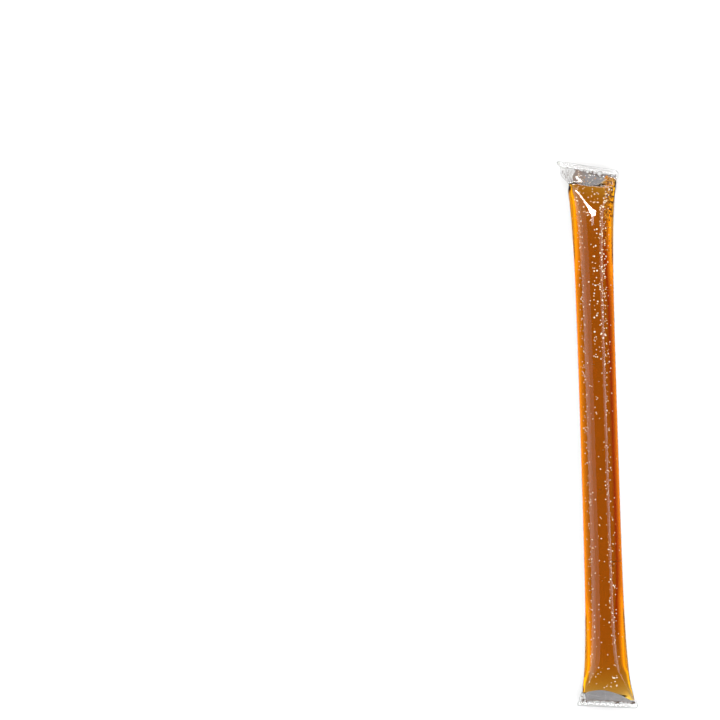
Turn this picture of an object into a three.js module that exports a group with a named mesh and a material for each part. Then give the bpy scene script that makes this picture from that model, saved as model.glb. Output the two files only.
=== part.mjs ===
// A honey straw: a short length of clear plastic tube, filled with honey and welded flat
// at both ends. It lies along Y with its shown side up, on a narrow flat under the tube.
// Millimetres, +Z up, origin under the middle of its box.

import * as THREE from "three";

// Driving dimensions
const TUBE_RADIUS = 3.0; // outside of the round tube
const LENGTH = 85.4; // along the axis, from the outer edge of one weld to the other
const REST_DEPTH = 0.14; // how far the underside is flat where it rests

// Weld. Distances along the tube are measured inwards from the weld's outer edge.
const WELD_HALF = 0.2; // half the thickness of the two walls welded together
const WELD_BAND = 0.9; // width of the weld, up to the honey
const BEAD_RISE = 0.09; // how far the molten bead stands above the weld on each side
const BEAD_AT = 0.3;
const BEAD_SPREAD = 0.2;
const NOSE_LENGTH = 0.26; // rounding of the outer edge
const FIRST_STATION = 0.02; // the small end face that closes the nose

// Pinch: near the weld the tube is wider and lower than round
const WIDEN_SLOW = 1.33; // extra half width at the weld that dies out slowly
const WIDEN_SLOW_LENGTH = 6.5;
const WIDEN_FAST = 0.45; // extra half width that dies out close to the weld
const WIDEN_FAST_LENGTH = 2.8;
const LOWER_SHARE = 0.42; // share of the radius that is missing past the shoulder
const LOWER_LENGTH = 5.2;
const SHOULDER_LENGTH = 1.1; // the rise from the weld to the swollen pocket
const SHOULDER_POWER = 1.3;

// Facet: on each side a flatter triangle lies between two creases, which run from
// the weld's corners to one point on the tube.
const FACET_HALF = 4.3; // half the distance between the creases at the weld
const FACET_DOME = 0.35; // share of the round swelling that the facet keeps

// What differs between the two ends. Angles are in degrees, the rest in millimetres.
//   skew: slant of the weld, turn: twist of the weld about the axis
//   offset: sideways shift of the weld, apex: distance and side of the facet's point
//   flap: the empty fold on the left of the honey, its width and its length
//   bulge, notch: how far the flap's edge bows out, and is drawn in where the flap ends
//   corner: radius of the rounded corner, nub: the drop of plastic on the other corner
const TOP = {
  direction: 1, skew: 10.5, turn: 0, offset: -0.25, apex: 7.9, apexSide: 0.3,
  flapWidth: 2.2, flapLength: 3.1, bulge: 0.42, notch: 0.42, corner: 0.8, nub: 0.4,
};
const BOTTOM = {
  direction: -1, skew: -4, turn: 8, offset: 0.15, apex: 8.4, apexSide: -0.2,
  flapWidth: 0.9, flapLength: 2.2, bulge: 0.1, notch: 0.1, corner: 0.7, nub: 0.2,
};
const OFFSET_FADE = 2.2;
const BULGE_SHARE = 0.68; // where along the flap its edge bows out most
const FLAP_SPREAD = 0.75;
const NUB_AT = 0.35;
const NUB_SPREAD = 0.3;
const SLANT_FADE = 6.0; // length over which skew and turn die out down the tube

// Faceting
const WALL_STEPS = 32; // steps across one wall, from the left edge to the right edge
const END_STATIONS = 24;
const END_REACH = 20; // length of each end that has the closer stations
const END_CROWDING = 4;
const MIDDLE_STATIONS = 6;

const fadeOut = (distance, reach) => Math.exp(-((distance / reach) ** 2));

// Height of a quarter circle of radius 1 at a distance from where it starts.
const quarterRound = (share) => Math.sqrt(1 - (1 - THREE.MathUtils.clamp(share, 0, 1)) ** 2);

// Half the thickness of the weld, with its molten bead and its rounded outer edge.
function plateHeight(d) {
  const bead = WELD_HALF + BEAD_RISE * fadeOut(d - BEAD_AT, BEAD_SPREAD);
  return bead * quarterRound(d / NOSE_LENGTH);
}

// Half the thickness of the swollen pocket.
function pocketHeight(d) {
  const inside = Math.max(0, d - WELD_BAND);
  const slow = 1 - LOWER_SHARE * Math.exp(-inside / LOWER_LENGTH);
  const shoulder = 1 - Math.exp(-((inside / SHOULDER_LENGTH) ** SHOULDER_POWER));
  return TUBE_RADIUS * slow * shoulder;
}

// Left and right edge of the section, and the left edge of the honey beside the flap.
function edges(d, end) {
  const slow = WIDEN_SLOW * Math.exp(-d / WIDEN_SLOW_LENGTH);
  const half = TUBE_RADIUS + slow + WIDEN_FAST * fadeOut(d, WIDEN_FAST_LENGTH);
  const shift = end.offset * fadeOut(d, OFFSET_FADE);
  const bulge = end.bulge * fadeOut(d - BULGE_SHARE * end.flapLength, FLAP_SPREAD);
  const notch = end.notch * fadeOut(d - end.flapLength, FLAP_SPREAD);
  const nub = end.nub * fadeOut(d - NUB_AT, NUB_SPREAD);
  const cut = end.corner * (1 - quarterRound(d / end.corner));
  const left = shift - half - bulge + notch - nub;
  const flap = end.flapWidth * Math.sqrt(1 - Math.min(1, d / end.flapLength) ** 2);
  return { left, right: shift + half - cut, pocket: left + flap };
}

// Height of the round swelling between the pocket's edges.
function swelling(x, d, { pocket, right }) {
  const across = (2 * x - pocket - right) / (right - pocket);
  return pocketHeight(d) * Math.sqrt(Math.max(0, 1 - across ** 2));
}

// Height of the upper wall above the middle plane. Between the creases the swelling
// is drawn towards the straight line from crease to crease.
function wallHeight(x, d, end) {
  const edge = edges(d, end);
  const fromEdge = Math.min(x - edge.left, edge.right - x);
  const plate = plateHeight(d) * quarterRound(fromEdge / WELD_HALF);
  if (x <= edge.pocket) {
    return plate;
  }
  const swell = swelling(x, d, edge);
  const share = (d - WELD_BAND) / (end.apex - WELD_BAND);
  const creaseLeft = Math.max(edge.pocket, THREE.MathUtils.lerp(-FACET_HALF, end.apexSide, share));
  const creaseRight = Math.min(edge.right, THREE.MathUtils.lerp(FACET_HALF, end.apexSide, share));
  if (share >= 1 || x <= creaseLeft || x >= creaseRight) {
    return Math.max(plate, swell);
  }
  const along = (x - creaseLeft) / (creaseRight - creaseLeft);
  const straight = THREE.MathUtils.lerp(
    swelling(creaseLeft, d, edge),
    swelling(creaseRight, d, edge),
    along,
  );
  return Math.max(plate, THREE.MathUtils.lerp(straight, swell, FACET_DOME));
}

// Carries a point of a level section to its place in the slanted, turned end.
function place(x, z, d, end) {
  const fade = fadeOut(d, SLANT_FADE);
  const turn = THREE.MathUtils.degToRad(end.turn) * fade;
  const slant = Math.tan(THREE.MathUtils.degToRad(end.skew)) * fade;
  const height = x * Math.sin(turn) + z * Math.cos(turn);
  return new THREE.Vector3(
    x * Math.cos(turn) - z * Math.sin(turn),
    end.direction * (LENGTH / 2 - d - x * slant),
    Math.max(height, REST_DEPTH - TUBE_RADIUS),
  );
}

// One ring of points: the upper wall from left to right, then the lower wall back.
function ring(d, end) {
  const { left, right } = edges(d, end);
  const points = [];
  for (let step = 0; step < 2 * WALL_STEPS; step += 1) {
    const angle = (step / WALL_STEPS) * Math.PI;
    const x = THREE.MathUtils.lerp(left, right, (1 - Math.cos(angle)) / 2);
    const side = step < WALL_STEPS ? 1 : -1;
    points.push(place(x, side * wallHeight(x, d, end), d, end));
  }
  return points;
}

// Distances of an end's stations from its outer edge, closest together at the weld.
function endStations() {
  const stations = [];
  for (let index = 0; index <= END_STATIONS; index += 1) {
    const share = Math.expm1((END_CROWDING * index) / END_STATIONS) / Math.expm1(END_CROWDING);
    stations.push(Math.max(FIRST_STATION, share * END_REACH));
  }
  return stations;
}

function allRings() {
  const stations = endStations();
  const rings = stations.map((d) => ring(d, BOTTOM));
  const middle = LENGTH - 2 * END_REACH;
  for (let index = 1; index < MIDDLE_STATIONS; index += 1) {
    const fromBottom = END_REACH + (index / MIDDLE_STATIONS) * middle;
    const end = fromBottom < LENGTH / 2 ? BOTTOM : TOP;
    rings.push(ring(Math.min(fromBottom, LENGTH - fromBottom), end));
  }
  return rings.concat(stations.reverse().map((d) => ring(d, TOP)));
}

// Faces of one end, as a ladder between its upper and its lower wall.
function endFaces(first, outward) {
  const around = 2 * WALL_STEPS;
  const faces = [];
  for (let step = 0; step < WALL_STEPS; step += 1) {
    const upper = [first + step, first + step + 1];
    const lower = [first + ((around - step) % around), first + around - step - 1];
    const corners = [upper[0], lower[0], lower[1], upper[1]];
    const [a, b, c, d] = outward ? corners : corners.reverse();
    if (a !== b && b !== c) faces.push(a, b, c);
    if (c !== d && d !== a) faces.push(a, c, d);
  }
  return faces;
}

// Joins the rings into one closed skin.
function closedSkin(rings) {
  const around = 2 * WALL_STEPS;
  const faces = [...endFaces(0, true), ...endFaces((rings.length - 1) * around, false)];
  for (let row = 0; row + 1 < rings.length; row += 1) {
    for (let step = 0; step < around; step += 1) {
      const next = (step + 1) % around;
      const low = row * around;
      const high = low + around;
      faces.push(low + step, low + next, high + next);
      faces.push(low + step, high + next, high + step);
    }
  }
  return faces;
}

function strawGeometry() {
  const rings = allRings();
  const geometry = new THREE.BufferGeometry().setFromPoints(rings.flat());
  geometry.setIndex(closedSkin(rings));
  geometry.computeBoundingBox();
  const box = geometry.boundingBox;
  const middle = box.getCenter(new THREE.Vector3());
  geometry.translate(-middle.x, -middle.y, -box.min.z);
  geometry.computeVertexNormals();
  return geometry;
}

const amber = new THREE.MeshStandardMaterial({ color: 0xb4641a, roughness: 0.15, metalness: 0 });

const honeyStraw = new THREE.Group();
const straw = new THREE.Mesh(strawGeometry(), amber);
straw.name = "honey_straw";
honeyStraw.add(straw);

export default honeyStraw;
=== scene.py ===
"""Looks of the honey straw: clear film, honey, welded ends and air bubbles."""

import math

import bmesh
import bpy
import numpy as np
from mathutils import Matrix, Vector


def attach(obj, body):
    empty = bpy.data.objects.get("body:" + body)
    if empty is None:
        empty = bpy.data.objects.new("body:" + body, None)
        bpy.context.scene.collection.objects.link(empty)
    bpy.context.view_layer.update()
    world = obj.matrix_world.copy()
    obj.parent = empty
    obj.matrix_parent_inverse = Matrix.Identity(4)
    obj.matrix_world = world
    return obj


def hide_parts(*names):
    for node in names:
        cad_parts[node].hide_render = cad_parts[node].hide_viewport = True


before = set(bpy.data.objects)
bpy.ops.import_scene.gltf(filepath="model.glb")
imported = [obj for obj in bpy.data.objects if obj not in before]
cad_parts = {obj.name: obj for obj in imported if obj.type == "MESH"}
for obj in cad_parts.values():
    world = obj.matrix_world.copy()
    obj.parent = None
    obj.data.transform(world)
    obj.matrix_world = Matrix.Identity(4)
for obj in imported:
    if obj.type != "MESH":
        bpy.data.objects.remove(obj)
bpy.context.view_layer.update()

# ---------------------------------------------------------------- sizes, as in the solid
# Millimetres. Distances along the tube are measured inwards from a weld's outer edge.
TUBE_RADIUS = 3.0
LENGTH = 85.4
REST_DEPTH = 0.14
WELD_HALF, WELD_BAND = 0.2, 0.9
BEAD_RISE, BEAD_AT, BEAD_SPREAD = 0.09, 0.3, 0.2
NOSE_LENGTH = 0.26
FIRST_STATION = 0.02
WIDEN_SLOW, WIDEN_SLOW_LENGTH = 1.33, 6.5
WIDEN_FAST, WIDEN_FAST_LENGTH = 0.45, 2.8
LOWER_SHARE, LOWER_LENGTH = 0.42, 5.2
SHOULDER_LENGTH, SHOULDER_POWER = 1.1, 1.3
FACET_HALF, FACET_DOME = 4.3, 0.2
TOP = dict(direction=1, skew=10.5, turn=0, offset=-0.25, apex=7.9, apex_side=0.3,
           flap_width=2.2, flap_length=3.1, bulge=0.42, notch=0.42, corner=0.8, nub=0.4,
           fill=3.22, fill_left=0.9, fill_right=2.8)
BOTTOM = dict(direction=-1, skew=-4, turn=8, offset=0.15, apex=8.4, apex_side=-0.2,
              flap_width=0.9, flap_length=2.2, bulge=0.1, notch=0.1, corner=0.7, nub=0.2,
              fill=2.7, fill_left=1.2, fill_right=1.4)
OFFSET_FADE, BULGE_SHARE, FLAP_SPREAD = 2.2, 0.68, 0.75
NUB_AT, NUB_SPREAD, SLANT_FADE = 0.35, 0.3, 6.0

# The solid's faceting, from which its box follows
SOLID_STEPS, SOLID_STATIONS, SOLID_CROWDING = 32, 24, 4

# What the render adds
WALL_STEPS = 88          # steps across one wall
END_STATIONS = 120
END_REACH = 20.0
END_CROWDING = 2.6
MIDDLE_STEP = 0.9
FACET_CURL = 1.3         # how much the right crease bows outwards
CREASE_ROUND = 0.09      # rounding of the facet's creases
CREASE_TAPER = 1.2       # facet width under which the rounding shrinks with the facet
CREASE_SHARPEST = 0.05   # share of the rounding that is left at the facet's point
CREASE_DROP = 0.15       # share of the rounding by which the facet is lifted again
CREASE_BLEND = (-0.75, -0.25)   # where beside a crease the facet's dip begins and is whole
HONEY_GAP = 0.035        # honey's surface under the film's outer surface
HONEY_RIM = 0.32         # clear plastic beside the honey at the weld
HONEY_THIN = 0.17        # extra clear plastic above the honey at the weld
MM = 0.001


def fade_out(distance, reach):
    return np.exp(-((distance / reach) ** 2))


def quarter_round(share):
    return np.sqrt(1 - (1 - np.clip(share, 0, 1)) ** 2)


def lerp(a, b, t):
    return a + (b - a) * t


def soft_step(a, b, value):
    t = np.clip((value - a) / (b - a), 0, 1)
    return t * t * (3 - 2 * t)


def plate_height(d):
    bead = WELD_HALF + BEAD_RISE * fade_out(d - BEAD_AT, BEAD_SPREAD)
    return bead * quarter_round(d / NOSE_LENGTH)


def pocket_height(d):
    inside = np.maximum(0, d - WELD_BAND)
    slow = 1 - LOWER_SHARE * np.exp(-inside / LOWER_LENGTH)
    return TUBE_RADIUS * slow * (1 - np.exp(-((inside / SHOULDER_LENGTH) ** SHOULDER_POWER)))


def edges(d, end):
    slow = WIDEN_SLOW * np.exp(-d / WIDEN_SLOW_LENGTH)
    half = TUBE_RADIUS + slow + WIDEN_FAST * fade_out(d, WIDEN_FAST_LENGTH)
    shift = end["offset"] * fade_out(d, OFFSET_FADE)
    bulge = end["bulge"] * fade_out(d - BULGE_SHARE * end["flap_length"], FLAP_SPREAD)
    notch = end["notch"] * fade_out(d - end["flap_length"], FLAP_SPREAD)
    nub = end["nub"] * fade_out(d - NUB_AT, NUB_SPREAD)
    cut = end["corner"] * (1 - quarter_round(d / end["corner"]))
    left = shift - half - bulge + notch - nub
    flap = end["flap_width"] * np.sqrt(1 - np.minimum(1, d / end["flap_length"]) ** 2)
    return left, shift + half - cut, left + flap


def dome(x, d, left, right):
    across = (2 * x - left - right) / (right - left)
    return pocket_height(d) * np.sqrt(np.maximum(0, 1 - across ** 2))


def pocket(x, d, end):
    """Half height of the swollen pocket, with the flatter facet between two creases."""
    left, right, start = edges(d, end)
    swell = dome(x, d, start, right)
    share = (d - WELD_BAND) / (end["apex"] - WELD_BAND)
    crease_left = np.maximum(start, lerp(-FACET_HALF, end["apex_side"], share))
    bent = np.clip(share, 0, 1) ** FACET_CURL
    crease_right = np.minimum(right, lerp(FACET_HALF, end["apex_side"], bent))
    width = crease_right - crease_left
    safe = np.maximum(width, 1e-3)
    straight = lerp(dome(crease_left, d, start, right), dome(crease_right, d, start, right),
                    (x - crease_left) / safe)
    dip = swell - straight
    round_off = CREASE_ROUND * np.clip(width / CREASE_TAPER, CREASE_SHARPEST, 1)
    soft = 0.5 * (dip + np.sqrt(dip ** 2 + round_off ** 2)) - CREASE_DROP * round_off
    inside = soft_step(*CREASE_BLEND, np.minimum(x - crease_left, crease_right - x))
    dip = np.where(share < 1, np.maximum(0, soft) * inside, 0)
    return np.maximum(0, swell - (1 - FACET_DOME) * dip), start, right


def wall_height(x, d, end):
    left, right, start = edges(d, end)
    plate = plate_height(d) * quarter_round(np.minimum(x - left, right - x) / WELD_HALF)
    swell, _, _ = pocket(x, d, end)
    swell = np.where(x > start, swell, 0)
    return np.maximum(plate, swell)


def place(x, z, d, end):
    fade = fade_out(d, SLANT_FADE)
    turn = math.radians(end["turn"]) * fade
    slant = math.tan(math.radians(end["skew"])) * fade
    height = x * np.sin(turn) + z * np.cos(turn)
    return np.stack([x * np.cos(turn) - z * np.sin(turn),
                     end["direction"] * (LENGTH / 2 - d - x * slant), height], -1)


def across_steps(count):
    """Positions over the upper wall from left to right, then over the lower wall back."""
    angle = np.arange(2 * count) / count * math.pi
    return (1 - np.cos(angle)) / 2, np.where(np.arange(2 * count) < count, 1.0, -1.0)


def end_stations(count, first=FIRST_STATION):
    share = np.expm1(END_CROWDING * np.arange(count + 1) / count) / math.expm1(END_CROWDING)
    return np.maximum(FIRST_STATION, first + share * (END_REACH - first))


def frame_shift():
    """What moves the tube's axis to its place above the middle of the solid's box."""
    share, side = across_steps(SOLID_STEPS)
    steps = np.arange(SOLID_STATIONS + 1) / SOLID_STATIONS
    steps = np.expm1(SOLID_CROWDING * steps) / math.expm1(SOLID_CROWDING)
    rows = []
    for end in (TOP, BOTTOM):
        for d in np.maximum(FIRST_STATION, steps * END_REACH):
            left, right, _ = edges(d, end)
            x = lerp(left, right, share)
            rows.append(place(x, side * wall_height(x, d, end), d, end))
    points = np.concatenate(rows)
    points[:, 2] = np.maximum(points[:, 2], REST_DEPTH - TUBE_RADIUS)
    low, high = points.min(0), points.max(0)
    return np.array([-(low[0] + high[0]) / 2, -(low[1] + high[1]) / 2, -low[2]])


SHIFT = frame_shift()


def to_metres(points, floor_gap=0.0):
    points = np.array(points)
    points[..., 2] = np.maximum(points[..., 2], REST_DEPTH - TUBE_RADIUS + floor_gap)
    return (points + SHIFT) * MM


def stations(first_top, first_bottom):
    """All rows of a skin from the bottom end to the top end, as (distance, end)."""
    rows = [(d, BOTTOM) for d in end_stations(END_STATIONS, first_bottom)]
    middle = LENGTH - 2 * END_REACH
    count = int(middle / MIDDLE_STEP)
    for index in range(1, count):
        from_bottom = END_REACH + middle * index / count
        end = BOTTOM if from_bottom < LENGTH / 2 else TOP
        rows.append((min(from_bottom, LENGTH - from_bottom), end))
    rows += [(d, TOP) for d in end_stations(END_STATIONS, first_top)[::-1]]
    return rows


def skin_faces(rows, around):
    """Quads of a closed skin over rings, with a ladder of quads on each end."""
    faces = []
    for row in range(rows - 1):
        for step in range(around):
            after = (step + 1) % around
            low, high = row * around, (row + 1) * around
            faces.append((low + step, low + after, high + after, high + step))
    half = around // 2
    for first, outward in ((0, True), ((rows - 1) * around, False)):
        for step in range(half):
            upper = (first + step, first + step + 1)
            lower = (first + (around - step) % around, first + around - step - 1)
            ring = [upper[0], lower[0], lower[1], upper[1]]
            ring = [v for i, v in enumerate(ring) if v not in ring[:i]]
            faces.append(tuple(ring if outward else ring[::-1]))
    return faces


def add_mesh(name, points, faces, material):
    mesh = bpy.data.meshes.new(name)
    mesh.from_pydata([tuple(p) for p in points], [], faces)
    mesh.validate()
    mesh.polygons.foreach_set("use_smooth", [True] * len(mesh.polygons))
    mesh.materials.append(material)
    piece = bpy.data.objects.new(name, mesh)
    bpy.context.collection.objects.link(piece)
    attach(piece, "root")
    return piece


# ---------------------------------------------------------------- materials
PLASTIC_IOR = 1.49
BUBBLE_IOR = 1.3
HONEY_COLOUR = (0.876, 0.681, 0.02, 1)
HONEY_DENSITY = 1050.0                 # per metre
SMEAR_AT = (-0.0026, 0.0405, 0.0029)   # a thin smear of honey left in the empty pocket
SMEAR_EDGE = (0.0022, 0.0028)          # its radius, from full to none, metres
SMEAR_WOBBLE = 0.0012
# Painted shade of the empty pocket: a grey tint and a grey haze darken what is seen through it
POCKET_PAINTED_SHADE, SMEAR_TONE = (0.8, 0.79, 0.795, 1), (0.79, 0.66, 0.57, 1)
POCKET_SHADE_HAZE, POCKET_SHADE_HAZE_TONE = 0.3, (0.33, 0.32, 0.32, 1)
WELD_EDGE_PAINTED_SHADE = (0.6, 0.6, 0.61, 1)   # painted shade of the rounded edges, seen through
WELD_EDGE_SLOPE = (0.35, 0.85)         # upward part of the normal, from edge to flat plate
WHITE = (1, 1, 1, 1)


def new_material(name):
    material = bpy.data.materials.new(name)
    material.use_nodes = True
    material.node_tree.nodes.clear()
    return material, material.node_tree


def add_node(tree, kind, inputs=None, **settings):
    """Adds a node. Each of its inputs is a value, or the output of another node."""
    node = tree.nodes.new("ShaderNode" + kind)
    for setting, value in settings.items():
        setattr(node, setting, value)
    for socket, value in (inputs or {}).items():
        if isinstance(value, bpy.types.NodeSocket):
            tree.links.new(value, node.inputs[socket])
        else:
            node.inputs[socket].default_value = value
    return node


def add_math(tree, operation, *values):
    return add_node(tree, "Math", dict(enumerate(values)), operation=operation).outputs[0]


def add_range(tree, value, span, result=(0.0, 1.0), smooth=False):
    """A value that runs over the result while another one runs over the span."""
    node = add_node(tree, "MapRange", {
        "Value": value, "From Min": span[0], "From Max": span[1],
        "To Min": result[0], "To Max": result[1],
    }, interpolation_type="SMOOTHSTEP" if smooth else "LINEAR")
    return node.outputs["Result"]


def add_mix(tree, factor, first, second):
    """A colour between two others."""
    sockets = {"Factor": factor, "A": first, "B": second}
    return add_node(tree, "Mix", sockets, data_type="RGBA").outputs["Result"]


def add_colour_ramp(tree, value, tones):
    """A colour ramp with (position, colour) pairs, in rising order."""
    node = add_node(tree, "ValToRGB", {"Fac": value})
    stops = node.color_ramp.elements
    stops.remove(stops[1])
    for index, (at, colour) in enumerate(tones):
        stop = stops[0] if index == 0 else stops.new(at)
        stop.position = at
        stop.color = (*colour, 1)
    return node.outputs["Color"]


def object_place(tree):
    return add_node(tree, "TexCoord").outputs["Object"]


def mix_shaders(tree, factor, first, second):
    return add_node(tree, "MixShader", {0: factor, 1: first.outputs[0], 2: second.outputs[0]})


def set_surface(tree, shader):
    add_node(tree, "OutputMaterial", {"Surface": shader.outputs[0]})


def mirrored_ray(tree):
    """1 for a ray that was reflected last, 0 for one that was refracted or scattered."""
    path = add_node(tree, "LightPath").outputs
    return add_node(tree, "Math", {0: path["Is Glossy Ray"], 1: path["Is Transmission Ray"]},
                    operation="SUBTRACT", use_clamp=True).outputs[0]


def film_material():
    """Clear plastic over the honey: seen through, with the gloss of its outer side."""
    material, tree = new_material("clear_film")
    stretched = add_node(tree, "Mapping", {
        "Vector": object_place(tree), "Scale": (1400, 160, 1400)}).outputs["Vector"]
    noise = add_node(tree, "TexNoise", {"Vector": stretched, "Scale": 1.0, "Detail": 3.0})
    bump = add_node(tree, "Bump", {
        "Height": noise.outputs["Fac"], "Strength": 0.12, "Distance": 0.00003})
    gloss = add_node(tree, "BsdfGlossy", {"Normal": bump.outputs["Normal"], "Roughness": 0.06})
    fresnel = add_node(tree, "Fresnel", {"IOR": PLASTIC_IOR}).outputs["Fac"]
    inner_side = add_node(tree, "NewGeometry").outputs["Backfacing"]
    weight = add_math(tree, "MULTIPLY", fresnel, add_math(tree, "SUBTRACT", 1.0, inner_side))
    set_surface(tree, mix_shaders(tree, weight, add_node(tree, "BsdfTransparent"), gloss))
    return material


def honey_material():
    """Honey: clear amber liquid that absorbs by depth."""
    material, tree = new_material("honey")
    shader = add_node(tree, "BsdfPrincipled", {
        "Base Color": WHITE, "Roughness": 0.0, "IOR": PLASTIC_IOR, "Transmission Weight": 1.0})
    absorb = add_node(tree, "VolumeAbsorption", {
        "Color": HONEY_COLOUR, "Density": HONEY_DENSITY})
    add_node(tree, "OutputMaterial", {
        "Surface": shader.outputs[0], "Volume": absorb.outputs[0]})
    return material


def lens_material():
    """Empty pocket of the film, with painted shade: a grey tint and a grey haze darken what is
    seen through it.
    """
    material, tree = new_material("empty_pocket")
    place_at = object_place(tree)
    noise = add_node(tree, "TexNoise", {"Vector": place_at, "Scale": 420.0, "Detail": 2.0})
    away = add_node(tree, "VectorMath", {0: place_at, 1: SMEAR_AT}, operation="DISTANCE")
    wobbling = add_math(tree, "MULTIPLY_ADD", noise.outputs["Fac"], SMEAR_WOBBLE,
                        away.outputs["Value"])
    smear = add_range(tree, wobbling, SMEAR_EDGE, smooth=True)
    clear = add_node(tree, "BsdfTransparent", {
        "Color": add_mix(tree, smear, SMEAR_TONE, POCKET_PAINTED_SHADE)})
    # painted shade: a grey diffuse haze over the empty pocket
    haze = add_node(tree, "BsdfDiffuse", {"Color": POCKET_SHADE_HAZE_TONE})
    set_surface(tree, mix_shaders(tree, POCKET_SHADE_HAZE, clear, haze))
    return material


def clear_material():
    """The solid clear plastic of the welded ends, with painted shade greying its rounded edges.
    """
    material, tree = new_material("clear_weld")
    geometry = add_node(tree, "NewGeometry").outputs
    upward = add_node(tree, "SeparateXYZ", {0: geometry["Normal"]}).outputs["Z"]
    # painted shade: the tint greys where the normal leans over, at the rounded edges
    level = add_range(tree, add_math(tree, "ABSOLUTE", upward), WELD_EDGE_SLOPE, smooth=True)
    clear = add_node(tree, "BsdfTransparent", {
        "Color": add_mix(tree, level, WELD_EDGE_PAINTED_SHADE, WHITE)})
    # the inner side is as glossy as the outer one
    ior = add_math(tree, "MULTIPLY_ADD", geometry["Backfacing"], 1 / PLASTIC_IOR - PLASTIC_IOR,
                   PLASTIC_IOR)
    fresnel = add_node(tree, "Fresnel", {"IOR": ior}).outputs["Fac"]
    gloss = add_node(tree, "BsdfGlossy", {"Roughness": 0.04})
    set_surface(tree, mix_shaders(tree, fresnel, clear, gloss))
    return material


def plain_material(name, colour):
    material, tree = new_material(name)
    set_surface(tree, add_node(tree, "BsdfPrincipled", {
        "Base Color": (*colour, 1), "Roughness": 0.2, "IOR": PLASTIC_IOR}))
    return material


def bubble_material(name, tones):
    """Air bubbles against the film, each with its own tone."""
    material, tree = new_material(name)
    island = add_node(tree, "NewGeometry").outputs["Random Per Island"]
    set_surface(tree, add_node(tree, "BsdfPrincipled", {
        "Base Color": add_colour_ramp(tree, island, tones),
        "Roughness": 0.25, "IOR": BUBBLE_IOR}))
    return material


def bead_material():
    """Molten plastic and trapped air along a weld: milky and clear by turns."""
    material, tree = new_material("weld_beads")
    noise = add_node(tree, "TexNoise", {"Vector": object_place(tree), "Scale": 900.0})
    tone = add_colour_ramp(tree, noise.outputs["Fac"],
                           [(0.42, (0.8, 0.8, 0.81)), (0.62, (0.97, 0.97, 0.97))])
    set_surface(tree, add_node(tree, "BsdfPrincipled", {
        "Base Color": tone, "Roughness": 0.12, "IOR": PLASTIC_IOR, "Transmission Weight": 0.3}))
    return material


# ---------------------------------------------------------------- pieces
def film_piece():
    rows = stations(FIRST_STATION, FIRST_STATION)
    share, side = across_steps(WALL_STEPS)
    rings = []
    for d, end in rows:
        left, right, _ = edges(d, end)
        x = lerp(left, right, share)
        rings.append(place(x, side * wall_height(x, d, end), d, end))
    points = to_metres(np.concatenate(rings))
    return add_mesh("straw_film", points, skin_faces(len(rows), len(share)), film_material())


HONEY_FIRST = 1.22       # the honey's nearest distance to the outer edge of a weld
HONEY_FADE = 1.3         # length over which the plastic around the honey gets thinner
MENISCUS_TURN = 0.2      # where across the section the honey's end is lowest, on the left
MENISCUS_CURL = 1.8      # how the honey's end rises on the right
LENS_GAP, LENS_ROWS = 0.03, 24
WELD_ROWS, WELD_CROWDING = 60, 1.2
WELD_INSET = 0.02        # of the clear plate under the film
WELD_CLOSING = 0.15      # length over which the plate's inner edge is rounded
FLAP_START, FLAP_TAPER = 0.25, 0.5   # how the plate narrows to the empty fold past the weld
FRAME_STEP = 0.02        # for the slope of the film under a bead


def meniscus(across, end):
    """Where the honey ends under the film, as a distance from the weld's outer edge."""
    level = (end["fill"] - end["fill_left"] * np.maximum(0, -MENISCUS_TURN - across) ** 2
             - end["fill_right"] * np.maximum(0, across + MENISCUS_TURN) ** MENISCUS_CURL)
    return np.maximum(HONEY_FIRST, level)


def honey_section(share, side, d, end, gap=HONEY_GAP):
    _, right, start = edges(d, end)
    x = lerp(start, right, share)
    half = (right - start) / 2
    near = np.exp(-(d - WELD_BAND) / HONEY_FADE)
    rim = gap + HONEY_RIM * near
    thin = gap + HONEY_THIN * near
    height, _, _ = pocket(x, d, end)
    keep = np.maximum(0.02, 1 - thin / pocket_height(d))
    middle = (start + right) / 2
    return middle + (x - middle) * (1 - rim / half), side * height * keep


def honey_piece():
    share, side = across_steps(WALL_STEPS)
    rings = []
    for d, end in stations(0, 0):
        first = meniscus(2 * share - 1, end)
        late = first + (END_REACH - first) * d / END_REACH if d < END_REACH else d + 0 * share
        rings.append(place(*honey_section(share, side, late, end), late, end))
    points = to_metres(np.concatenate(rings), HONEY_GAP)
    return add_mesh("honey", points, skin_faces(len(rings), len(share)), honey_material())


def lens_piece(name, end):
    """The empty pocket between the honey and the weld."""
    share, side = across_steps(WALL_STEPS)
    last = meniscus(2 * share - 1, end) - LENS_GAP
    rings = []
    for index in range(LENS_ROWS + 1):
        d = lerp(WELD_BAND + LENS_GAP, last, index / LENS_ROWS)
        rings.append(place(*honey_section(share, side, d, end), d, end))
    points = to_metres(np.concatenate(rings), HONEY_GAP)
    faces = skin_faces(len(rings), len(share))
    if end["direction"] > 0:
        faces = [face[::-1] for face in faces]
    return add_mesh(name, points, faces, lens_material())


def weld_piece(name, end, depth):
    """The flat welded plate of one end, with its bead, its flap and its rounded edge."""
    share, side = across_steps(WALL_STEPS)
    rings = []
    for index in range(WELD_ROWS + 1):
        d = WELD_INSET + depth * (index / WELD_ROWS) ** WELD_CROWDING
        left, right, start = edges(d, end)
        closing = quarter_round((depth + WELD_INSET - d) / WELD_CLOSING + 0.02)
        narrow = soft_step(HONEY_FIRST, HONEY_FIRST + FLAP_TAPER, d)
        right_edge = lerp(start + FLAP_START, right, 1 - narrow)
        x = lerp(left + WELD_INSET, right_edge - WELD_INSET, share)
        plate = plate_height(d) * quarter_round(np.minimum(x - left, right_edge - x) / WELD_HALF)
        rings.append(place(x, side * np.maximum(0.01, plate - WELD_INSET) * closing, d, end))
    points = to_metres(np.concatenate(rings))
    faces = skin_faces(len(rings), len(share))
    if end["direction"] > 0:
        faces = [face[::-1] for face in faces]
    return add_mesh(name, points, faces, clear_material())


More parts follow.
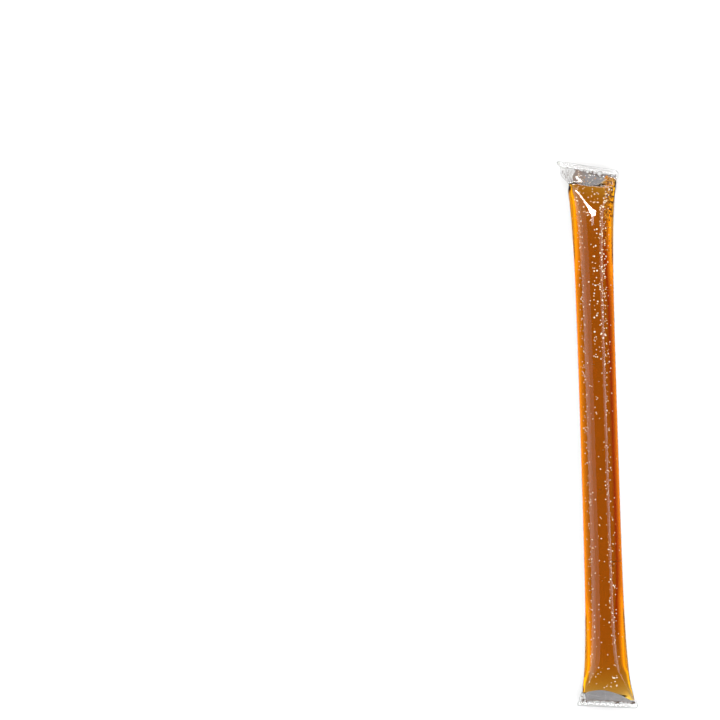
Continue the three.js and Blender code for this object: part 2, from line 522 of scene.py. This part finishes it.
def surface_frame(x, d, end, side):
    """Point of the film's outer side above (x, d), with its outward normal, millimetres."""
    def at(x_at, d_at):
        x_at, d_at = np.float64(x_at), np.float64(d_at)
        point = place(x_at, side * wall_height(x_at, d_at, end), d_at, end)
        point[2] = max(point[2], REST_DEPTH - TUBE_RADIUS)
        return point + SHIFT
    point = at(x, d)
    along = at(x, d + FRAME_STEP) - at(x, d - FRAME_STEP)
    over = at(x + FRAME_STEP, d) - at(x - FRAME_STEP, d)
    normal = np.cross(over, along)
    normal /= max(np.linalg.norm(normal), 1e-9)
    if normal[2] * side < 0:
        normal = -normal
    return point, normal


def unit_ball(levels):
    ball = bmesh.new()
    bmesh.ops.create_icosphere(ball, subdivisions=levels, radius=1.0)
    points = np.array([tuple(v.co) for v in ball.verts])
    faces = [tuple(v.index for v in f.verts) for f in ball.faces]
    ball.free()
    return points, faces


def add_beads(name, beads, material):
    """Flattened balls just under the film: (x, d, end, side, radius, thickness, depth)."""
    ball, ball_faces = unit_ball(2)
    points, faces = [], []
    for x, d, end, side, radius, thick, depth in beads:
        point, normal = surface_frame(x, d, end, side)
        across = np.cross([0.0, 1.0, 0.0], normal)
        across /= max(np.linalg.norm(across), 1e-9)
        along = np.cross(normal, across)
        middle = point - normal * depth
        first = sum(len(block) for block in points)
        points.append(middle + radius * (ball[:, :1] * across + ball[:, 1:2] * along)
                      + thick * ball[:, 2:] * normal)
        faces += [tuple(first + v for v in face) for face in ball_faces]
    return add_mesh(name, np.concatenate(points) * MM, faces, material)


# The larger bubbles along the inner edge of the top weld: place and radius
WELD_BEADS = [
    (-2.15, 0.69, 0.15), (-1.75, 0.72, 0.11), (-1.42, 0.8, 0.18), (-1.0, 0.82, 0.12),
    (-0.51, 0.88, 0.25), (0.02, 0.88, 0.13), (0.57, 0.91, 0.2), (0.92, 0.86, 0.1),
    (1.37, 0.87, 0.38), (1.86, 0.8, 0.12), (2.19, 0.74, 0.18), (2.5, 0.8, 0.11),
    (2.82, 0.79, 0.15), (3.31, 0.94, 0.18), (3.55, 1.1, 0.11), (3.79, 1.16, 0.15),
]
FOLD_LINES = [   # creases of the empty fold beside the honey: (x, d) from end to end
    [(-3.42, 3.0), (-3.7, 2.3), (-3.85, 1.6), (-3.9, 1.05)],
    [(-3.3, 2.7), (-3.35, 2.1), (-3.2, 1.5), (-2.85, 1.0)],
    [(-4.75, 0.75), (-4.3, 0.95), (-3.6, 0.95), (-2.8, 0.8)],
]
FOLD_STEPS = 8                   # beads along each stretch of a crease
LIP_AT = 0.27                    # the molten lip along each weld
LIP_FROM, LIP_TO, LIP_STEP = -4.25, 3.75, 0.05
BEADS_IN = 0.1                   # how far the listed beads stand in from where they were read
BEADS_PER_WELD, BEADS_PER_FLAP = 34, 22     # on each side
NUB_BEAD = (-5.06, 0.34, TOP, 1, 0.22, 0.16, 0.08)
# Painted shade: the dark tone of the rims under the beads and the grey of the creases and lips
# stand in for the dark lines that refraction draws there
RIM_PAINTED_SHADE, RIDGE_PAINTED_SHADE = (0.12, 0.07, 0.045), (0.5, 0.49, 0.49)


def weld_beads():
    """Beads and trapped air along the welds and in the folds, with darker rims below them that
    are painted shade for the dark outline of each bead.
    """
    random = np.random.default_rng(11)
    beads = [(x, d + BEADS_IN, TOP, 1, r, 0.45 * r, 0.05) for x, d, r in WELD_BEADS]
    beads += [(x, d + BEADS_IN, TOP, -1, r * 0.8, 0.4 * r, 0.05) for x, d, r in WELD_BEADS[::2]]
    for end, side in ((TOP, 1), (TOP, -1), (BOTTOM, 1), (BOTTOM, -1)):
        _, weld_right, weld_start = edges(WELD_BAND, end)
        for _ in range(BEADS_PER_WELD):
            x = random.uniform(weld_start, weld_right - 0.35)
            r = random.uniform(0.05, 0.16 if end is BOTTOM else 0.1)
            d = WELD_BAND + random.normal(-0.08, 0.06)
            beads.append((x, d, end, side, r, 0.45 * r, 0.04))
        for _ in range(BEADS_PER_FLAP):
            d = random.uniform(0.5, end["flap_length"] - 0.2)
            left, _, start = edges(d, end)
            x = random.uniform(left + 0.2, start - 0.05)
            r = random.uniform(0.04, 0.09)
            beads.append((x, d, end, side, r, 0.5 * r, 0.03))
    beads.append(NUB_BEAD)
    # painted shade: darker flattened balls under the larger beads, for their dark outlines
    rims = [(x + 0.02, d + 0.05, end, side, 1.25 * r + 0.02, 0.3 * r, depth + 0.2 * r)
            for x, d, end, side, r, thick, depth in beads if r > 0.07 and d > 0.5]
    add_beads("weld_rims_painted_shade", rims, plain_material("weld_rims_painted_shade", RIM_PAINTED_SHADE))
    add_beads("weld_bubbles", beads, bead_material())


def fold_ridges_painted_shade():
    """The creases of the top end's empty fold, and the lip along each weld, in a grey that is
    painted shade for the dark lines they show.
    """
    beads = []
    for line in FOLD_LINES:
        for (xa, da), (xb, db) in zip(line, line[1:]):
            for t in np.arange(FOLD_STEPS) / FOLD_STEPS:
                beads.append((lerp(xa, xb, t), lerp(da, db, t), TOP, 1, 0.07, 0.035, 0.012))
    for end in (TOP, BOTTOM):
        for x in np.arange(LIP_FROM, LIP_TO, LIP_STEP):
            beads.append((x, LIP_AT, end, 1, 0.055, 0.03, 0.012))
    add_beads("fold_ridges_painted_shade", beads, plain_material("fold_ridges_painted_shade", RIDGE_PAINTED_SHADE))


BUBBLE_TONES = [   # share of the bubbles up to which a tone holds, and the tone
    (0.0, (1.0, 0.92, 0.8)), (0.6, (1.0, 0.84, 0.6)), (0.86, (0.9, 0.58, 0.3)),
    (0.98, (0.5, 0.2, 0.04)), (1.0, (0.2, 0.06, 0.01)),
]
FROTH_TONES = [
    (0.0, (0.85, 0.42, 0.03)), (0.2, (0.7, 0.28, 0.01)), (0.45, (0.42, 0.12, 0.002)),
    (0.7, (0.2, 0.045, 0.001)), (1.0, (0.07, 0.015, 0.001)),
]
# Where bubbles lie: count, x from, x to, d from, d to, smallest and largest radius, end, side.
# Without an x they lie along the right crease of the top end.
BUBBLE_ZONES = [
    (34, None, None, 2.2, 7.2, 0.08, 0.15, TOP, 1),        # along the right crease
    (34, -2.2, 2.2, 3.4, 8.0, 0.07, 0.12, TOP, 1),         # on the facet
    (22, -2.2, 2.6, 1.1, 2.8, 0.06, 0.11, TOP, 1),         # over the empty pocket
    (110, -0.3, 2.2, 8.5, 31.0, 0.075, 0.15, TOP, 1),      # right of the middle
    (90, -2.5, -1.7, 3.4, 42.0, 0.06, 0.11, TOP, 1),
    (60, 1.1, 1.7, 7.5, 42.0, 0.06, 0.12, TOP, 1),
    (90, -2.8, 2.8, 5.0, 42.0, 0.06, 0.11, TOP, 1),
    (70, -2.5, -1.7, 3.0, 42.0, 0.06, 0.11, BOTTOM, 1),
    (80, 0.6, 1.8, 3.0, 42.0, 0.06, 0.13, BOTTOM, 1),
    (80, -2.8, 2.8, 3.0, 42.0, 0.06, 0.11, BOTTOM, 1),
    (50, -2.8, 2.8, 3.0, 42.0, 0.03, 0.06, TOP, -1),
    (50, -2.8, 2.8, 3.0, 42.0, 0.03, 0.06, BOTTOM, -1),
]
FROTH_ZONES = [
    (150, 1.9, 3.35, 2.4, 8.6, 0.09, 0.19, TOP, 1),
    (90, 2.2, 3.7, 1.25, 3.0, 0.09, 0.18, TOP, 1),
    (50, 1.9, 2.9, 8.6, 14.0, 0.06, 0.12, TOP, 1),
    (90, 1.9, 3.3, 2.4, 8.6, 0.06, 0.12, TOP, -1),
]


CREASE_D, CREASE_X = (2.0, 7.2), (3.25, 1.35)   # the right crease, from end to end
CREASE_SCATTER = 0.2
SMALL_ONES = 1.6         # above 1, small bubbles are more frequent than large ones


def scattered(zones, seed):
    random = np.random.default_rng(seed)
    beads = []
    for count, x_from, x_to, d_from, d_to, small, large, end, side in zones:
        for _ in range(count):
            d = random.uniform(d_from, d_to)
            if x_from is None:
                share = (d - CREASE_D[0]) / (CREASE_D[1] - CREASE_D[0])
                x = lerp(*CREASE_X, share) + random.normal(0, CREASE_SCATTER)
            else:
                x = random.uniform(x_from, x_to)
            r = small + (large - small) * random.uniform(0, 1) ** SMALL_ONES
            thick = 0.3 * r + 0.01
            beads.append((x, d, end, side, r, thick, thick + 0.004))
    return beads


# ---------------------------------------------------------------- camera and lights
PHOTO_SIZE = 720
PIXELS_PER_MM = 6.34
LEAN = math.radians(1.81)
AXIS_AT = (590.6, 182.4)         # photo point of the tube's axis near the top end, pixels
AXIS_POINT = (0.310, 42.33)      # the same point on the part, millimetres
MOVE_UP = 16.0                   # pixels, so that the bottom end isn't cut off
CAMERA_HEIGHT = 1.4              # metres
SENSOR = 36.0                    # millimetres

UNDER_DEPTH = 6.0                # of the light table, millimetres under the floor
UNDER_SPAN = 13.0                # half the width that its colour ramp covers, millimetres
UNDER_STRENGTH = 6.0
# Light under the honey: bright beside the tube, dim and warm under its middle, and a shade
# left of the middle that the flatter ends don't have.
BRIGHT, SHADE, DIM = (0.5, 0.35, 0.0), (0.1, 0.02, 0.0), (0.12, 0.09, 0.06)
UNDER_ROUND = [(-8, BRIGHT), (-2, SHADE), (-1, DIM), (2, DIM), (8, BRIGHT)]
UNDER_END = [(-6, BRIGHT), (-2, DIM), (2, DIM), (6, BRIGHT)]
UNDER_FADE = (28.0, 35.5)        # where the one turns into the other, along the tube
UNDER_RIM = (40.4, 41.4)         # where the light for the thin rim of the honey begins
UNDER_RIM_TONE = (0.08, 0.045, 0.01, 1)
UNDER_BEYOND = (44.5, 50.0)      # past the ends the light is plain again
UNDER_BEYOND_TONE = (0.3, 0.24, 0.1, 1)
UNDER_FOLD = (-2.9, -3.6)        # across the tube, where the empty fold of the top end begins
UNDER_FOLD_REACH = 2.2           # by how much the light for the end starts sooner there
UNDER_SIZE = 0.4                 # metres
UNDER_SLANT = 5.0                # how far across the slant of the ends is followed


def add_camera():
    across = (PHOTO_SIZE / 2 - AXIS_AT[0]) / PIXELS_PER_MM
    up = -(PHOTO_SIZE / 2 - AXIS_AT[1] + MOVE_UP) / PIXELS_PER_MM
    # photo right and photo up, in the part's frame
    right = Vector((math.cos(LEAN), -math.sin(LEAN)))
    upward = Vector((math.sin(LEAN), math.cos(LEAN)))
    centre = Vector(AXIS_POINT) + right * across + upward * up
    data = bpy.data.cameras.new("camera")
    camera = bpy.data.objects.new("camera", data)
    bpy.context.collection.objects.link(camera)
    camera.location = (centre.x * MM, centre.y * MM, CAMERA_HEIGHT)
    camera.rotation_euler = (0, 0, -LEAN)
    data.sensor_width = SENSOR
    field = PHOTO_SIZE / PIXELS_PER_MM * MM
    data.lens = SENSOR * (CAMERA_HEIGHT - TUBE_RADIUS * MM) / field
    data.clip_end = 20.0
    bpy.context.scene.camera = camera


PANEL_AWAY, PANEL_LENGTH = 0.6, 0.7     # metres
SIDE_STRIPS = [      # mirrored along the tube: name, angle from above, half angle, radiance
    ("left_low", -70, 8.5, 1.3), ("left_middle", -55.5, 6, 0.95),
    ("left_high", -38, 11.5, 0.45), ("right_strip", 46, 4.5, 2.0), ("right_soft", 37, 4.5, 0.8),
]
TOP_END = (0.0, 0.038, 0.003)    # where the lights for the top end's creases aim, metres
CREASE_LIGHTS = [    # name, angles across and along, half angles across and along, radiance
    ("crease_light", -27, 22, 32, 5, 22), ("apex_light", 3, 13, 10, 4, 22),
    ("tail_light", 2, 8.5, 6, 2.5, 4),
]
FAR_PANEL_RISE = 11      # degrees over the floor, past the top end
WORLD_DARK, WORLD_WHITE = 0.03, 0.97    # as mirrored or scattered, and as seen directly


def add_panel(name, direction, distance, size, radiance, gloss=True, light=True,
              origin=(0, 0, 0)):
    """A rectangular softbox at a direction (x, y, z) from a point, facing it."""
    data = bpy.data.lights.new(name, "AREA")
    data.shape = "RECTANGLE"
    data.size, data.size_y = size
    data.energy = radiance * math.pi * size[0] * size[1]
    lamp = bpy.data.objects.new(name, data)
    bpy.context.collection.objects.link(lamp)
    toward = Vector(direction).normalized()
    lamp.location = Vector(origin) + toward * distance
    y_axis = Vector((0, 1, 0))
    y_axis = (y_axis - toward * y_axis.dot(toward)).normalized()
    axes = Matrix((y_axis.cross(toward), y_axis, toward))
    lamp.rotation_euler = axes.transposed().to_euler()
    lamp.visible_glossy = gloss
    lamp.visible_diffuse = light
    lamp.visible_transmission = light
    lamp.visible_camera = False


def add_lights():
    def opening(half_angle):
        return 2 * PANEL_AWAY * math.tan(math.radians(half_angle))

    for name, angle, half, radiance in SIDE_STRIPS:
        toward = (math.sin(math.radians(angle)), 0, math.cos(math.radians(angle)))
        add_panel(name, toward, PANEL_AWAY, (opening(half), PANEL_LENGTH), radiance)
    for name, across, along, half_across, half_along, radiance in CREASE_LIGHTS:
        toward = (math.tan(math.radians(across)), math.tan(math.radians(along)), 1)
        add_panel(name, toward, PANEL_AWAY, (opening(half_across), opening(half_along)),
                  radiance, light=False, origin=TOP_END)
    rise = math.radians(FAR_PANEL_RISE)
    add_panel("far_panel", (0, math.cos(rise), math.sin(rise)), PANEL_AWAY, (1.2, 0.32), 5.0,
              light=False)
    add_panel("overhead", (0.1, 0, 1), 0.8, (0.9, 1.3), 3.2, gloss=False)


def add_world():
    """White where it is seen directly or through the honey, dark to all else."""
    world = bpy.data.worlds.new("studio")
    bpy.context.scene.world = world
    world.use_nodes = True
    tree = world.node_tree
    tree.nodes.clear()
    scattered_times = add_node(tree, "LightPath").outputs["Diffuse Depth"]
    bounced = add_math(tree, "ADD", scattered_times, mirrored_ray(tree))
    seen = add_math(tree, "LESS_THAN", bounced, 0.5)
    background = add_node(tree, "Background", {
        "Color": WHITE, "Strength": add_range(tree, seen, (0, 1), (WORLD_DARK, WORLD_WHITE))})
    add_node(tree, "OutputWorld", {"Surface": background.outputs[0]})


FLOOR_SIZE, FLOOR_DROP = 0.5, 0.00002   # metres
FLOOR_TONE = (0.87, 0.87, 0.87, 1)
FLOOR_MIRRORED = 0.04            # its tone as mirrored in the film
FLOOR_BESIDE = (3.7, 4.3)        # but as mirrored it is white this close to the tube
FLOOR_ALONG = (38.0, 39.5)       # and up to here along it, and dark beyond


def millimetres(span):
    return tuple(end * MM for end in span)


def add_floor():
    material, tree = new_material("floor")
    place_at = add_node(tree, "SeparateXYZ", {0: object_place(tree)}).outputs
    beside = add_range(tree, add_math(tree, "ABSOLUTE", place_at["X"]),
                       millimetres(FLOOR_BESIDE), (1.0, 0.0))
    along = add_range(tree, add_math(tree, "ABSOLUTE", place_at["Y"]),
                      millimetres(FLOOR_ALONG), (1.0, 0.0))
    # Painted reflection: as mirrored in the film, the floor is white beside the tube and dark
    # beyond
    painted_reflection_tone = add_math(tree, "MULTIPLY_ADD", beside, along, FLOOR_MIRRORED)
    tone = add_mix(tree, mirrored_ray(tree), FLOOR_TONE, painted_reflection_tone)
    set_surface(tree, add_node(tree, "BsdfDiffuse", {"Color": tone}))
    bpy.ops.mesh.primitive_plane_add(size=FLOOR_SIZE, location=(0, 0, -FLOOR_DROP))
    floor = bpy.context.object
    floor.name = "floor"
    floor.data.materials.append(material)
    floor.visible_transmission = False


def hide_from_all_but_honey(piece):
    piece.visible_camera = False
    piece.visible_diffuse = False
    piece.visible_glossy = False
    piece.visible_shadow = False
    piece.visible_volume_scatter = False


def add_underlight():
    """A light table under the floor, seen only through the honey."""
    material, tree = new_material("underlight")
    place_at = add_node(tree, "SeparateXYZ", {0: object_place(tree)}).outputs
    over_span = add_range(tree, place_at["X"], millimetres((-UNDER_SPAN, UNDER_SPAN)))
    round_light, end_light = (
        add_colour_ramp(tree, over_span,
                        [((x / UNDER_SPAN + 1) / 2, colour) for x, colour in places])
        for places in (UNDER_ROUND, UNDER_END))
    # distance along the tube, slanted as each end is, and longer under the empty fold
    across = add_node(tree, "Clamp", {
        "Value": place_at["X"], "Min": -UNDER_SLANT * MM, "Max": UNDER_SLANT * MM}).outputs[0]
    slanted = []
    for end, sign in ((TOP, 1), (BOTTOM, -1)):
        slant = add_math(tree, "MULTIPLY", across, math.tan(math.radians(end["skew"])))
        slanted.append(add_math(tree, "MULTIPLY_ADD", place_at["Y"], sign, slant))
    fold = add_range(tree, place_at["X"], millimetres(UNDER_FOLD), (0, UNDER_FOLD_REACH * MM))
    reach = add_math(tree, "ADD", add_math(tree, "MAXIMUM", *slanted), fold)
    colour = round_light
    for span, tone in ((UNDER_FADE, end_light), (UNDER_RIM, UNDER_RIM_TONE),
                       (UNDER_BEYOND, UNDER_BEYOND_TONE)):
        colour = add_mix(tree, add_range(tree, reach, millimetres(span)), colour, tone)
    set_surface(tree, add_node(tree, "Emission", {"Color": colour, "Strength": UNDER_STRENGTH}))
    bpy.ops.mesh.primitive_plane_add(size=UNDER_SIZE, location=(
        AXIS_POINT[0] * MM, 0, -UNDER_DEPTH * MM))
    table = bpy.context.object
    table.name = "underlight"
    table.data.materials.append(material)
    hide_from_all_but_honey(table)


EDGE_GLOW = 7.5                  # of the strips beside the ends that light the honey's edges
EDGE_GLOW_TONE = (0.45, 1.0, 0.0, 1)
EDGE_GLOW_FADE = (19.0, 33.0)    # where along the tube they come up
EDGE_GLOW_X, EDGE_GLOW_Y, EDGE_GLOW_Z = (7.5, 27.5), 43.0, 12.0


def add_edge_glow():
    """Two strips above and beside the tube, seen only through the honey."""
    material, tree = new_material("edge_glow")
    along = add_node(tree, "SeparateXYZ", {0: object_place(tree)}).outputs["Y"]
    strength = add_range(tree, add_math(tree, "ABSOLUTE", along), millimetres(EDGE_GLOW_FADE),
                         (0, EDGE_GLOW), smooth=True)
    set_surface(tree, add_node(tree, "Emission", {
        "Color": EDGE_GLOW_TONE, "Strength": strength}))
    near, far = EDGE_GLOW_X
    for name, side in (("edge_glow_left", -1), ("edge_glow_right", 1)):
        corners = [(side * x * MM, y * MM, EDGE_GLOW_Z * MM)
                   for x, y in ((near, -EDGE_GLOW_Y), (far, -EDGE_GLOW_Y),
                                (far, EDGE_GLOW_Y), (near, EDGE_GLOW_Y))]
        mesh = bpy.data.meshes.new(name)
        mesh.from_pydata(corners, [], [(0, 1, 2, 3)])
        mesh.materials.append(material)
        strip = bpy.data.objects.new(name, mesh)
        bpy.context.collection.objects.link(strip)
        hide_from_all_but_honey(strip)


def main():
    scene = bpy.context.scene
    scene.view_settings.view_transform = "Standard"
    scene.cycles.transparent_max_bounces = 24
    scene.cycles.max_bounces = 16
    scene.cycles.transmission_bounces = 12
    scene.cycles.caustics_refractive = True
    scene.cycles.caustics_reflective = True
    scene.cycles.use_denoising = True
    scene.cycles.blur_glossy = 0.0
    add_camera()
    add_lights()
    add_world()
    add_floor()
    add_underlight()
    add_edge_glow()
    honey = honey_piece()
    film = film_piece()
    film.visible_shadow = False
    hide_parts("honey_straw")
    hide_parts("honey_straw")
    honey.visible_diffuse = False
    for name, end in (("weld_top", TOP), ("weld_bottom", BOTTOM)):
        weld_piece(name, end, end["flap_length"]).visible_shadow = False
    weld_beads()
    fold_ridges_painted_shade()
    for name, zones, tones, seed in (("air_bubbles", BUBBLE_ZONES, BUBBLE_TONES, 5),
                                     ("edge_froth", FROTH_ZONES, FROTH_TONES, 6)):
        add_beads(name, scattered(zones, seed), bubble_material(name, tones))
    lens_piece("pocket_top", TOP)
    lens_piece("pocket_bottom", BOTTOM)


main()
